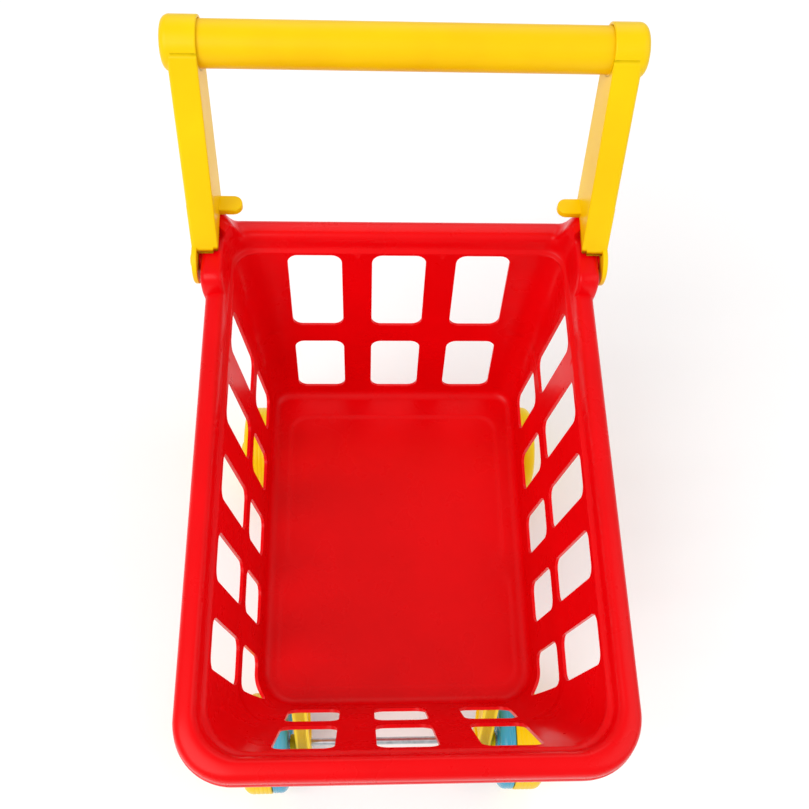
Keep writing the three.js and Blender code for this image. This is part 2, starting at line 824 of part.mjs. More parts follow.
place('basket', basket(), redPlastic);
placePair('handle_arm', handleArm(), yellowPlastic);
place('handle_bar', handleBar(), yellowPlastic);
placePair('handle_pin', handlePin(), yellowPlastic);
placePair('bar_screw', barScrew(), steel);

for (const spot of legPlaces()) {
  placePair(`${spot.name}_leg`, leg(spot), yellowPlastic);
  screwPlaces(spot).forEach((screw, number) => {
    placePair(`${spot.name}_leg_screw_${number + 1}`, legScrew(screw), steel);
  });
  place(`${spot.name}_axle`, axle(spot), steel);
  placePair(`${spot.name}_bush`, bush(spot), yellowPlastic);
  placePair(`${spot.name}_wheel_outer`, wheelOuterHalf(spot), yellowPlastic);
  placePair(`${spot.name}_wheel_inner`, wheelInnerHalf(spot), bluePlastic);
  placePair(`${spot.name}_axle_cap`, axleCap(spot), yellowPlastic);
}

export default cart;
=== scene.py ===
import math

import bpy
import numpy as np
from mathutils import Matrix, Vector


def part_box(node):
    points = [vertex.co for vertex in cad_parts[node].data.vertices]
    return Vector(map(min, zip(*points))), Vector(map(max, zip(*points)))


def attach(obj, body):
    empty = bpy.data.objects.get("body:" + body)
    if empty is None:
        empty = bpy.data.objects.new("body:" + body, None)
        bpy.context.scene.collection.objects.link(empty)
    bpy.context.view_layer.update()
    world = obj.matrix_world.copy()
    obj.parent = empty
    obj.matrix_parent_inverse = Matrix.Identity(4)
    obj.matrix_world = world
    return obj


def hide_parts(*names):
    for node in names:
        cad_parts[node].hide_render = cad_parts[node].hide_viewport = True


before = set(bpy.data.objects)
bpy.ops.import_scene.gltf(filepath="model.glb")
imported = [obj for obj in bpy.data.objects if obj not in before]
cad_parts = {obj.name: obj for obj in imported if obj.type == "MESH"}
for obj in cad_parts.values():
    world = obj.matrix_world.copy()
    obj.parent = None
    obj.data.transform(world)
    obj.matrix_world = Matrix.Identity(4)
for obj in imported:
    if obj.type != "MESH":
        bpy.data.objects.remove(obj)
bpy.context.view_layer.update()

# ------------------------------------------------------------------------------------------------ basket
# The basket is one injection moulding in glossy red polypropylene: a drafted tub with rounded windows, a
# rolled rim with a hanging lip, a floor with two pressed panels, and a raised ear and corner at each side
# of the back that carry the handle. Sizes are in millimetres, and a distance runs back from the rim's front.

MM = 0.001
front_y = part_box("basket")[0].y / MM
basket_length = 362.0
rim_half_width = 130.0
rim_top = 345.0
wall_top = 332.0
floor_top = 164.5
floor_fillet = 7.0
window_base = 173.2
window_middle = 245.0
window_radius = 7.3
wall_thickness = 2.2
side_rim, front_rim, back_rim = 17.0, 17.0, 21.5
side_draft, front_draft, back_draft = 0.083, 0.27, 0.168
inner_front_radius, inner_back_radius = 25.0, 15.0
rim_front_radius, rim_back_radius = 34.0, 20.0
ear_front, ear_nose, ear_share = 301.0, 9.0, 0.66
step_front, step_length = 337.5, 3.0
ear_stand_off = 3.2
corner_fillet_from, corner_fillet_to = 107.0, 115.0


def ring_sizes(z, moved_in=0.0):
    """Half width, front, back and the two corner radii of the inner wall at height z: straight drafts."""
    depth = np.maximum(0.0, wall_top - z)
    half = rim_half_width - side_rim - side_draft * depth - moved_in
    front = front_rim + front_draft * depth + moved_in
    back = basket_length - back_rim - back_draft * depth - moved_in
    return half, front, back, inner_front_radius - moved_in, inner_back_radius - moved_in


def rim_sizes(share):
    """The same five sizes on the rim, from the wall's top (share 0) to the lip (share 1)."""
    half = rim_half_width - side_rim * (1 - share)
    front = front_rim * (1 - share)
    back = basket_length - back_rim * (1 - share)
    front_radius = inner_front_radius + (rim_front_radius - inner_front_radius) * share
    back_radius = inner_back_radius + (rim_back_radius - inner_back_radius) * share
    return half, front, back, front_radius, back_radius


# Each wall runs anticlockwise round the plan: its direction, its outward side, and its seams' arc angles.
front_seam, back_seam = math.radians(20), math.radians(45)
WALLS = {
    "right": {"along": (0, 1), "out": (1, 0), "seams": (math.pi / 2 - front_seam, math.pi / 2 - back_seam)},
    "back": {"along": (-1, 0), "out": (0, 1), "seams": (back_seam, back_seam)},
    "left": {"along": (0, -1), "out": (-1, 0), "seams": (math.pi / 2 - back_seam, math.pi / 2 - front_seam)},
    "front": {"along": (1, 0), "out": (0, -1), "seams": (front_seam, front_seam)},
}


def wall_line(wall, sizes):
    """Start and end of the wall's straight run, its distance out, and the radius at each end."""
    half, front, back, front_radius, back_radius = sizes
    if wall == "right":
        return front + front_radius, back - back_radius, half, front_radius, back_radius
    if wall == "left":
        return -(back - back_radius), -(front + front_radius), half, back_radius, front_radius
    if wall == "back":
        return -(half - back_radius), half - back_radius, back, back_radius, back_radius
    return -(half - front_radius), half - front_radius, -front, front_radius, front_radius


def on_wall(wall, run, sizes):
    """Plan point at a run along the wall: straight in the middle, round the corner's arc past each end."""
    start, end, out, start_radius, end_radius = wall_line(wall, sizes)
    before = np.maximum(start - run, 0.0) / start_radius
    after = np.maximum(run - end, 0.0) / end_radius
    along = np.clip(run, start, end) - start_radius * np.sin(before) + end_radius * np.sin(after)
    outwards = out - start_radius * (1 - np.cos(before)) - end_radius * (1 - np.cos(after))
    direction, side = WALLS[wall]["along"], WALLS[wall]["out"]
    x = along * direction[0] + outwards * side[0]
    y = along * direction[1] + outwards * side[1]
    return x, y


def run_at(wall, along, sizes):
    """The run that reaches a straight distance along the wall: the arc sine undoes the corner's sine."""
    start, end, _, start_radius, end_radius = wall_line(wall, sizes)
    before = np.arcsin(np.clip((start - along) / start_radius, 0.0, 0.999)) * start_radius
    after = np.arcsin(np.clip((along - end) / end_radius, 0.0, 0.999)) * end_radius
    return np.clip(along, start, end) - before + after


def seam_runs(wall, sizes):
    """The runs of the two seams in the corners' arcs that a wall reaches to."""
    start, end, _, start_radius, end_radius = wall_line(wall, sizes)
    first, last = WALLS[wall]["seams"]
    return start - first * start_radius, end + last * end_radius


def evenly(count):
    """Shares from 0 to 1 in equal steps."""
    return np.linspace(0.0, 1.0, count + 1)


def crowded(count, low, high, centre, spread, weight):
    """Shares from 0 to 1 whose spacing tightens round one place: the inverse of a summed density."""
    place = np.linspace(low, high, 400)
    density = 1 + weight * np.exp(-(((place - centre) / spread) ** 2))
    total = np.concatenate([[0], np.cumsum((density[1:] + density[:-1]) / 2)])
    return np.interp(np.linspace(0, total[-1], count + 1), total, np.linspace(0, 1, 400))


# Five columns of windows on each side and three on each end, in two rows (each row: middle height, height).
side_columns = [77.8 + 51.6 * column for column in range(5)]
side_shares = [
    crowded(30, 35.0, 103.6, 48.0, 16.0, 2.0),
    *[evenly(12)] * 3,
    crowded(64, 258.4, 350.0, 320.0, 26.0, 1.5),
]
end_shares = [
    crowded(34, -110.0, -29.5, -100.0, 14.0, 2.0),
    evenly(14),
    crowded(34, 29.5, 110.0, 100.0, 14.0, 2.0),
]
WINDOWS = {
    "right": {
        "middles": side_columns,
        "width": 30.0,
        "rows": ((211.9, 54.4), (289.0, 76.8)),
        "shares": side_shares,
    },
    "back": {
        "middles": [-59.0, 0.0, 59.0],
        "width": 37.8,
        "rows": ((205.5, 60.0), (292.3, 75.6)),
        "shares": end_shares,
    },
    "front": {
        "middles": [-59.3, 0.0, 59.3],
        "width": 35.6,
        "rows": ((213.1, 48.2), (289.9, 71.8)),
        "shares": end_shares,
    },
}
WINDOWS["left"] = {
    "middles": [-middle for middle in side_columns[::-1]],
    "width": 30.0,
    "rows": WINDOWS["right"]["rows"],
    "shares": [1 - share[::-1] for share in side_shares[::-1]],
}
WALL_ORDER = ("right", "back", "left", "front")
ROW_SEGMENTS = 14
CELL_LAYERS = np.array([0.0, 0.07, 0.2, 0.38, 0.58, 0.79, 1.0])
ARC_SEGMENTS = 3


def column_edges(wall, z):
    """The runs that bound a wall's columns at height z: seam, the middles between windows, seam."""
    sizes = ring_sizes(z)
    first, last = seam_runs(wall, sizes)
    middles = WINDOWS[wall]["middles"]
    between = [run_at(wall, (a + b) / 2, sizes) for a, b in zip(middles[:-1], middles[1:])]
    return [first] + between + [last]


def window_side(side, segments, width, height):
    """A quarter of a rounded rectangle: half an arc, a straight and half an arc, going anticlockwise."""
    middle = np.radians(270 + 90 * side)
    half_run = (width if side % 2 == 0 else height) / 2 - window_radius
    half_out = (height if side % 2 == 0 else width) / 2 - window_radius
    turn = np.radians(45) * np.concatenate([
        np.linspace(-1, 0, ARC_SEGMENTS + 1),
        np.zeros(segments - 2 * ARC_SEGMENTS - 1),
        np.linspace(0, 1, ARC_SEGMENTS + 1),
    ])
    slide = half_run * np.concatenate([
        -np.ones(ARC_SEGMENTS),
        np.linspace(-1, 1, segments - 2 * ARC_SEGMENTS + 1),
        np.ones(ARC_SEGMENTS),
    ])
    along = slide + window_radius * np.sin(turn)
    outwards = half_out + window_radius * np.cos(turn)
    cos, sin = np.cos(middle), np.sin(middle)
    return outwards * cos - along * sin, outwards * sin + along * cos


def window_cell(wall, column, row):
    """One window and the wall round it, as rings of points blended from the window's edge to the cell's."""
    facts = WINDOWS[wall]
    shares = facts["shares"][column]
    low, high = (window_base, window_middle) if row == 0 else (window_middle, wall_top)
    up = low + (high - low) * evenly(ROW_SEGMENTS)
    left = np.array([column_edges(wall, z)[column] for z in up])
    right = np.array([column_edges(wall, z)[column + 1] for z in up])
    bottom = left[0] + (right[0] - left[0]) * shares
    top = left[-1] + (right[-1] - left[-1]) * shares
    edge_run = np.concatenate([bottom[:-1], right[:-1], top[:0:-1], left[:0:-1]])
    level = np.ones(len(shares) - 1)
    edge_z = np.concatenate([low * level, up[:-1], high * level, up[:0:-1]])
    height_middle, height = facts["rows"][row]
    hole_along, hole_z = [], []
    for side, segments in enumerate((len(shares) - 1, ROW_SEGMENTS, len(shares) - 1, ROW_SEGMENTS)):
        along, z = window_side(side, segments, facts["width"], height)
        hole_along.append(along[:-1])
        hole_z.append(z[:-1])
    hole_z = np.concatenate(hole_z) + height_middle
    hole_run = run_at(wall, np.concatenate(hole_along) + facts["middles"][column], ring_sizes(hole_z))
    blend = CELL_LAYERS[:, None]
    run = hole_run * (1 - blend) + edge_run * blend
    z = hole_z * (1 - blend) + edge_z * blend
    x, y = on_wall(wall, run, ring_sizes(z))
    return np.stack([x, y, z], axis=-1)


def grid_faces(rows, columns, closed=True, flip=False):
    """Quads of a grid of rows by columns of points, joined up round each row where it is closed."""
    i = np.arange(rows - 1)[:, None]
    j = np.arange(columns if closed else columns - 1)[None, :]
    k = (j + 1) % columns
    quads = np.stack([i * columns + j, i * columns + k, (i + 1) * columns + k, (i + 1) * columns + j], -1)
    quads = quads.reshape(-1, 4)
    return quads[:, ::-1] if flip else quads


def perimeter_runs():
    """Every point's wall and its run at the top and the foot of the windows, once round the basket."""
    walls, top, foot = [], [], []
    for wall in WALL_ORDER:
        edges_top, edges_foot = column_edges(wall, wall_top), column_edges(wall, window_base)
        for column, shares in enumerate(WINDOWS[wall]["shares"]):
            walls += [wall] * (len(shares) - 1)
            top.append(edges_top[column] + (edges_top[column + 1] - edges_top[column]) * shares[:-1])
            foot.append(edges_foot[column] + (edges_foot[column + 1] - edges_foot[column]) * shares[:-1])
    return np.array(walls), np.concatenate(top), np.concatenate(foot)


def carried(wall, run, sizes_from, sizes_to, margin):
    """A run moved to another ring: unchanged in the middle, and stretched to the seam near each corner."""
    first, last = seam_runs(wall, sizes_from)
    first_to, last_to = seam_runs(wall, sizes_to)
    start_from, end_from = wall_line(wall, sizes_from)[:2]
    start_to, end_to = wall_line(wall, sizes_to)[:2]
    low, high = np.maximum(start_from, start_to) + margin, np.minimum(end_from, end_to) - margin
    before = first_to + (run - first) * (low - first_to) / (low - first)
    after = last_to - (last - run) * (last_to - high) / (last - high)
    return np.where(run < low, before, np.where(run > high, after, run))


# The rim's section, from the wall's top over the roll to the foot of the lip: share of the rim's width and
# height, once for the plain rim and once for the ears and raised corners, which are flat on top.
PLAIN_RIM = np.array([
    (0.000, 332.0), (0.030, 332.5), (0.090, 333.0), (0.135, 333.6), (0.155, 334.8), (0.175, 337.5),
    (0.200, 340.5), (0.240, 342.9), (0.300, 344.3), (0.370, 345.0), (0.450, 345.1), (0.550, 344.9),
    (0.660, 344.5), (0.770, 343.8), (0.870, 342.6), (0.935, 341.0), (0.975, 338.8), (0.992, 336.0),
    (0.985, 333.2), (1.015, 332.4), (1.040, 331.2), (1.040, 326.0),
])
RAISED_RIM = np.array([
    (0.000, 332.0), (0.030, 332.5), (0.090, 333.0), (0.135, 333.6), (0.155, 335.0), (0.175, 339.0),
    (0.200, 346.0), (0.215, 353.0), (0.235, 361.3), (0.265, 362.9), (0.330, 363.3), (0.450, 363.4),
    (0.650, 363.4), (0.830, 363.3), (0.940, 362.8), (0.985, 361.2), (1.000, 356.0), (1.000, 350.0),
    (1.000, 343.0), (1.000, 336.0), (1.030, 331.2), (1.030, 326.0),
])


def raised_share(walls, x, d):
    """How far the rim has climbed to the ear and corner: a quarter round up the nose, a hollow curve down."""
    along = np.clip((d - ear_front) / ear_nose, 0.0, 1.0)
    nose = np.sqrt(1 - (1 - along) ** 2)
    nose = nose * ear_share + (1 - ear_share) * np.clip((d - step_front) / step_length, 0.0, 1.0)
    inwards = np.clip((np.abs(x) - corner_fillet_from) / (corner_fillet_to - corner_fillet_from), 0.0, 1.0)
    fillet = inwards ** 2.2
    return np.where(walls == "back", fillet, np.where(walls == "front", 0.0, nose))


def panel_drop(x, d, middle, length, width, corner, drop, slope):
    """Depth of a pressed panel: a smooth step over the distance to a rounded rectangle."""
    dx = np.abs(x) - (width / 2 - corner)
    dy = np.abs(d - middle) - (length / 2 - corner)
    outside = np.hypot(np.maximum(dx, 0), np.maximum(dy, 0)) + np.minimum(np.maximum(dx, dy), 0) - corner
    step = np.clip(0.5 - outside / slope, 0.0, 1.0)
    return drop * step * step * (3 - 2 * step)


def basket_sheet():
    """The basket's inner skin, rim and lip as one sheet of quads: window cells, rings and a floor grid."""
    points, faces = [], []

    def add(block, block_faces):
        """Appends a block of points, and its faces numbered on from the points so far."""
        faces.append(block_faces + sum(len(part) for part in points))
        points.append(block.reshape(-1, 3))

    for wall in WALL_ORDER:
        for column in range(len(WINDOWS[wall]["middles"])):
            for row in range(2):
                cell = window_cell(wall, column, row)
                add(cell, grid_faces(cell.shape[0], cell.shape[1]))

    walls, top_run, foot_run = perimeter_runs()
    count = len(walls)

    rim = np.zeros((len(PLAIN_RIM), count, 3))
    base_x, base_y = np.zeros(count), np.zeros(count)
    inner = rim_sizes(0.0)
    for wall in WALL_ORDER:
        here = walls == wall
        base_x[here], base_y[here] = on_wall(wall, top_run[here], inner)
    middle_sizes = rim_sizes(0.5)
    middle_x, middle_y = np.zeros(count), np.zeros(count)
    for wall in WALL_ORDER:
        here = walls == wall
        run = carried(wall, top_run[here], inner, middle_sizes, 4.0)
        middle_x[here], middle_y[here] = on_wall(wall, run, middle_sizes)
    raised = raised_share(walls, middle_x, middle_y)
    side_only = np.where((walls == "right") | (walls == "left"), 1.0, 0.0)
    fade = np.clip((basket_length - 15.0 - middle_y) / 14.0, 0.0, 1.0)
    stand_off = ear_stand_off * raised * side_only * fade
    for ring, (plain, high) in enumerate(zip(PLAIN_RIM, RAISED_RIM)):
        share = plain[0] + (high[0] - plain[0]) * raised
        height = plain[1] + (high[1] - plain[1]) * raised
        for wall in WALL_ORDER:
            here = walls == wall
            sizes = rim_sizes(share[here])
            run = carried(wall, top_run[here], inner, sizes, 4.0)
            x, y = on_wall(wall, run, sizes)
            outer = np.clip((share[here] - 0.6) / 0.4, 0.0, 1.0)
            hang = np.clip((height[here] - 328.0) / 14.0, 0.0, 1.0)
            rim[ring, here, 0] = x + np.sign(x) * stand_off[here] * outer * hang
            rim[ring, here, 1] = y
            rim[ring, here, 2] = height[here]
    add(rim, grid_faces(len(PLAIN_RIM), count, flip=True))

    turns = np.radians(np.linspace(0, 90, 7))
    moved_in = floor_fillet * (1 - np.cos(turns))
    fillet_top = floor_top + floor_fillet
    heights = np.concatenate([[window_base], fillet_top - floor_fillet * np.sin(turns)])
    insets = np.concatenate([[0.0], moved_in])
    fillet = np.zeros((len(heights), count, 3))
    foot_sizes = ring_sizes(window_base)
    for ring, (z, inset) in enumerate(zip(heights, insets)):
        sizes = ring_sizes(max(z, fillet_top) if ring else z, inset)
        for wall in WALL_ORDER:
            here = walls == wall
            run = carried(wall, foot_run[here], foot_sizes, sizes, 1.0)
            fillet[ring, here, 0], fillet[ring, here, 1] = on_wall(wall, run, sizes)
            fillet[ring, here, 2] = z
    add(fillet, grid_faces(len(heights), count))

    # The floor is a Coons patch: opposite edges blended, less the corners' blend.
    along_count = sum(len(share) - 1 for share in side_shares)
    across_count = sum(len(share) - 1 for share in end_shares)
    edge = fillet[-1]
    loop = np.concatenate([edge, edge[:1]])
    right = loop[:along_count + 1]
    back = loop[along_count:along_count + across_count + 1]
    left = loop[along_count + across_count:2 * along_count + across_count + 1][::-1]
    front = loop[2 * along_count + across_count:][::-1]
    v = ((right[:, 1] - right[0, 1]) / (right[-1, 1] - right[0, 1]))[:, None, None]
    u = ((back[0, 0] - back[:, 0]) / (back[0, 0] - back[-1, 0]))[None, :, None]
    floor = (1 - u) * right[:, None] + u * left[:, None] + (1 - v) * front[None] + v * back[None]
    floor -= (1 - u) * (1 - v) * right[0] + u * (1 - v) * left[0] + (1 - u) * v * right[-1] + u * v * left[-1]
    x, d = floor[..., 0], floor[..., 1]
    floor[..., 2] -= panel_drop(x, d, 229.0, 124.0, 168.0, 14.0, 0.8, 4.0)
    floor[..., 2] -= panel_drop(x, d, 117.0, 86.0, 176.0, 14.0, 0.5, 4.0)
    add(floor, grid_faces(along_count + 1, across_count + 1, closed=False, flip=True))
    return np.concatenate(points), np.concatenate(faces)


def new_piece(name, points, faces, material, body, stands_for):
    """A smooth-shaded mesh from points in millimetres, in the cart's frame, and lists of faces."""
    mesh = bpy.data.meshes.new(name)
    mesh.from_pydata((points * MM).tolist(), [], [list(map(int, face)) for face in faces])
    mesh.validate()
    mesh.polygons.foreach_set("use_smooth", np.ones(len(mesh.polygons), dtype=bool))
    piece = bpy.data.objects.new(name, mesh)
    bpy.context.scene.collection.objects.link(piece)
    mesh.materials.append(material)
    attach(piece, body)
    if stands_for:
        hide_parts(*stands_for)
    return piece


def weld(piece, distance=0.004):
    """Joins the points that neighbouring blocks share."""
    modifier = piece.modifiers.new("weld", "WELD")
    modifier.merge_threshold = distance * MM
    return modifier


def round_edges(piece, width, angle=50, segments=2):
    """Rounds the edges that are sharper than an angle in degrees."""
    modifier = piece.modifiers.new("round edges", "BEVEL")
    modifier.width = width * MM
    modifier.segments = segments
    modifier.limit_method = "ANGLE"
    modifier.angle_limit = math.radians(angle)
    modifier.harden_normals = True
    return modifier


def srgb(code):
    """A hex sRGB colour as linear values."""
    parts = [int(code[i:i + 2], 16) / 255 for i in (1, 3, 5)]
    return tuple(p / 12.92 if p <= 0.04045 else ((p + 0.055) / 1.055) ** 2.4 for p in parts) + (1.0,)


def add_node(tree, kind, settings=None, links=None):
    """Adds a node, sets its sockets and properties by name, and links its inputs to other nodes' outputs."""
    node = tree.nodes.new(kind)
    for key, value in (settings or {}).items():
        if key in node.inputs:
            node.inputs[key].default_value = value
        else:
            setattr(node, key, value)
    for key, source in (links or {}).items():
        tree.links.new(source, node.inputs[key])
    return node


def moulded_plastic(name, colour, deep, pale, gloss, ripple_mm=9.0, pebble_mm=0.9, bump=0.10):
    """Glossy injection-moulded plastic: drifting tint, faint flow ripple, fine pebble and dulled patches."""
    material = bpy.data.materials.new(name)
    material.use_nodes = True
    tree = material.node_tree
    shader = tree.nodes["Principled BSDF"]
    place = add_node(tree, "ShaderNodeTexCoord").outputs["Object"]
    drift = add_node(tree, "ShaderNodeTexNoise", {"Scale": 1 / (60 * MM), "Detail": 3.0}, {"Vector": place})
    tint = add_node(tree, "ShaderNodeValToRGB", links={"Fac": drift.outputs["Fac"]})
    tint.color_ramp.elements[0].position, tint.color_ramp.elements[1].position = 0.32, 0.68
    tint.color_ramp.elements[0].color, tint.color_ramp.elements[1].color = srgb(deep), srgb(pale)
    mix = add_node(tree, "ShaderNodeMix", {"data_type": "RGBA"})
    mix.inputs[0].default_value = 0.5
    mix.inputs[6].default_value = srgb(colour)
    tree.links.new(tint.outputs["Color"], mix.inputs[7])
    tree.links.new(mix.outputs[2], shader.inputs["Base Color"])
    handled = add_node(tree, "ShaderNodeTexNoise", {"Scale": 1 / (25 * MM), "Detail": 5.0}, {"Vector": place})
    dulled = add_node(tree, "ShaderNodeMapRange", {"To Min": gloss - 0.05, "To Max": gloss + 0.08},
                      {"Value": handled.outputs["Fac"]})
    tree.links.new(dulled.outputs["Result"], shader.inputs["Roughness"])
    ripple = add_node(tree, "ShaderNodeTexNoise", {"Scale": 1 / (ripple_mm * MM), "Detail": 1.0},
                      {"Vector": place})
    pebble = add_node(tree, "ShaderNodeTexNoise", {"Scale": 1 / (pebble_mm * MM), "Detail": 2.0},
                      {"Vector": place})
    soft = add_node(tree, "ShaderNodeBump", {"Strength": bump, "Distance": 0.6 * MM},
                    {"Height": ripple.outputs["Fac"]})
    fine = add_node(tree, "ShaderNodeBump", {"Strength": bump * 0.8, "Distance": 0.06 * MM},
                    {"Height": pebble.outputs["Fac"], "Normal": soft.outputs["Normal"]})
    tree.links.new(fine.outputs["Normal"], shader.inputs["Normal"])
    shader.inputs["IOR"].default_value = 1.49
    shader.inputs["Specular IOR Level"].default_value = 0.16
    return material


# Red polypropylene from a polished mould: deep colour, broad soft highlights on the rolls of the rim.
red_plastic = moulded_plastic("moulded red polypropylene", "#e60006", "#dc0004", "#ee000a", 0.27)

sheet_points, sheet_faces = basket_sheet()
sheet_points = sheet_points + np.array([0.0, front_y, 0.0])
basket = new_piece("basket_moulding", sheet_points, sheet_faces, red_plastic, "cart",
                   ["basket"])
weld(basket)
thicken = basket.modifiers.new("wall thickness", "SOLIDIFY")
thicken.thickness = wall_thickness * MM
thicken.offset = -1.0
thicken.use_even_offset = True
round_edges(basket, 0.5)

# ------------------------------------------------------------------------------------------- screw bosses
# Eight round bosses moulded under the floor take the leg screws, and two stubby round bosses on the ears
# carry the handle's pins. They are the same red moulding as the basket, so they belong to its node.


def filleted(corners, steps=4):
    """A closed outline with its corners (a, b, radius) rounded by arcs tangent to the edges on both sides."""
    corners = np.asarray(corners, dtype=float)
    here, radius = corners[:, :2], corners[:, 2:3]
    back = np.roll(here, 1, axis=0) - here
    ahead_way = np.roll(here, -1, axis=0) - here
    back /= np.linalg.norm(back, axis=1, keepdims=True)
    ahead_way /= np.linalg.norm(ahead_way, axis=1, keepdims=True)
    half = np.arccos(np.clip((back * ahead_way).sum(axis=1, keepdims=True), -0.9999, 0.9999)) / 2
    bisector = back + ahead_way
    bisector /= np.maximum(np.linalg.norm(bisector, axis=1, keepdims=True), 1e-9)
    centre = here + bisector * radius / np.sin(half)
    start = here + back * radius / np.tan(half) - centre
    end = here + ahead_way * radius / np.tan(half) - centre
    turn = np.pi - 2 * half
    share = np.linspace(0, 1, steps + 1)[None, :]
    first = (np.sin((1 - share) * turn) / np.sin(turn))[..., None]
    second = (np.sin(share * turn) / np.sin(turn))[..., None]
    outline = (centre[:, None] + first * start[:, None] + second * end[:, None]).reshape(-1, 2)
    apart = np.linalg.norm(outline - np.roll(outline, 1, axis=0), axis=1) > 1e-4
    return outline[apart]


def facing_out(points, faces):
    """Turns every face round when the shell's signed volume, summed over fans of triangles, is negative."""
    volume = 0.0
    for block in faces:
        block = np.asarray(block)
        first = points[block[:, 0]]
        for corner in range(1, block.shape[1] - 1):
            crossed = np.cross(points[block[:, corner]], points[block[:, corner + 1]])
            volume += (first * crossed).sum() / 6
    return points, [np.asarray(block)[:, ::-1] if volume < 0 else np.asarray(block) for block in faces]


def turned(outline, count=72, change=None):
    """A closed outline (radius, x) spun about the X axis; points on the axis become single vertices."""
    outline = np.asarray(outline, dtype=float)
    angle = np.linspace(0, 2 * np.pi, count, endpoint=False)
    radius, x = np.repeat(outline[:, 0:1], count, axis=1), np.repeat(outline[:, 1:2], count, axis=1)
    if change is not None:
        radius, x = change(radius, x, np.broadcast_to(angle, radius.shape))
    ring = np.stack([x, radius * np.sin(angle), -radius * np.cos(angle)], axis=-1)
    on_axis = outline[:, 0] < 1e-6
    index = np.zeros((len(outline), count), dtype=int)
    sizes = np.where(on_axis, 1, count)
    starts = np.concatenate([[0], np.cumsum(sizes)[:-1]])
    index[:] = starts[:, None] + np.where(on_axis[:, None], 0, np.arange(count)[None, :])
    points = np.concatenate([block[:1] if axis else block for block, axis in zip(ring, on_axis)])
    low, high = index, np.roll(index, -1, axis=0)
    quads = np.stack([low, np.roll(low, -1, axis=1), np.roll(high, -1, axis=1), high], axis=-1)
    both = ~on_axis & ~np.roll(on_axis, -1)
    from_axis = on_axis & ~np.roll(on_axis, -1)
    to_axis = ~on_axis & np.roll(on_axis, -1)
    blocks = [quads[both].reshape(-1, 4), quads[from_axis].reshape(-1, 4)[:, [0, 2, 3]],
              quads[to_axis].reshape(-1, 4)[:, [0, 1, 2]]]
    return facing_out(points, [block for block in blocks if len(block)])


def plate(outline, low, high, rounding=0.8, steps=3, axis=0):
    """A flat-sided shell: an outline lifted along an axis, its rim rolled in by a quarter round each side."""
    outline = np.asarray(outline, dtype=float)
    ahead_way = np.roll(outline, -1, axis=0) - outline
    back = outline - np.roll(outline, 1, axis=0)
    way = ahead_way / np.linalg.norm(ahead_way, axis=1, keepdims=True)
    way = way + back / np.linalg.norm(back, axis=1, keepdims=True)
    way /= np.linalg.norm(way, axis=1, keepdims=True)
    area = (outline[:, 0] * np.roll(outline[:, 1], -1) - np.roll(outline[:, 0], -1) * outline[:, 1]).sum()
    inwards = np.stack([-way[:, 1], way[:, 0]], axis=-1) * np.sign(area)
    turn = np.radians(np.linspace(0, 90, steps + 1))
    inset = rounding * (1 - np.sin(turn))
    rise = rounding * (1 - np.cos(turn))
    insets = np.concatenate([inset, inset[::-1]])
    levels = np.concatenate([low + rise, high - rise[::-1]])
    rings = outline[None] + inwards[None] * insets[:, None, None]
    count = len(outline)
    level = np.broadcast_to(levels[:, None], rings.shape[:2])
    order = {0: (level, rings[..., 0], rings[..., 1]), 2: (rings[..., 0], rings[..., 1], level)}[axis]
    points = np.stack(order, axis=-1).reshape(-1, 3)
    sides = grid_faces(len(levels), count)
    foot, top = np.arange(count)[None, ::-1], (len(levels) - 1) * count + np.arange(count)[None]
    return facing_out(points, [sides, foot, top])


def moved(part, x=0.0, y=0.0, z=0.0):
    """A shell carried by a distance along each axis."""
    return part[0] + np.array([x, y, z]), part[1]


def mirrored(part):
    """A shell mirrored in the cart's middle plane, with its faces turned back to point out."""
    return part[0] * np.array([-1.0, 1.0, 1.0]), [block[:, ::-1] for block in part[1]]


def stood_up(part):
    """A shell turned so that its X axis points up."""
    return part[0][:, [2, 1, 0]] * np.array([-1.0, 1.0, 1.0]), part[1]


def joined(*parts):
    """Several closed shells as the points and faces of one piece."""
    points, faces, total = [], [], 0
    for part_points, blocks in parts:
        points.append(part_points)
        faces += [block + total for block in blocks]
        total += len(part_points)
    return np.concatenate(points), faces


def shell_piece(name, part, material, body, slot, *stands_for):
    """A piece of closed shells with smooth shading that keeps its flats flat."""
    points, blocks = part
    faces = [face for block in blocks for face in block.tolist()]
    piece = new_piece(name, points, faces, material, body, stands_for)
    even = piece.modifiers.new("flat faces stay flat", "WEIGHTED_NORMAL")
    even.weight = 80
    even.keep_sharp = True
    return piece


def tube(inner, outer, low, high, rounding=0.5, count=48):
    """A turned ring with rounded edges."""
    section = [(inner, low, 0.3), (outer, low, rounding), (outer, high, rounding), (inner, high, 0.3)]
    return turned(filleted(section), count)


floor_underside = 161.9
boss_height, boss_radius, screw_hole = 8.0, 5.0, 1.7
screw_spots = [(63.7, 77.0), (63.7, 109.0), (75.7, 264.0), (75.7, 296.0)]
pin_distance, pin_height = basket_length - 37.2, rim_top + 1.7
ear_inner, boss_end = 117.0, 133.5
bosses = []
for x, distance in screw_spots:
    boss = stood_up(tube(screw_hole, boss_radius, floor_underside - boss_height, floor_underside + 1.0))
    bosses += [moved(boss, side * x, front_y + distance, 0.0) for side in (-1, 1)]
pin_boss = moved(tube(3.2, 7.0, ear_inner + 3.0, boss_end), 0.0, front_y + pin_distance, pin_height)
bosses += [pin_boss, mirrored(pin_boss)]
shell_piece("basket_bosses", joined(*bosses), red_plastic, "cart", "red_plastic", "basket")

# ------------------------------------------------------------------------------------------- handle arms
# Each arm is one yellow injection moulding: a channel open at the back, a domed collar at its head that
# the bar plugs into, a round lobe at its foot for the pin, and a flat peg that rests on the basket's corner.

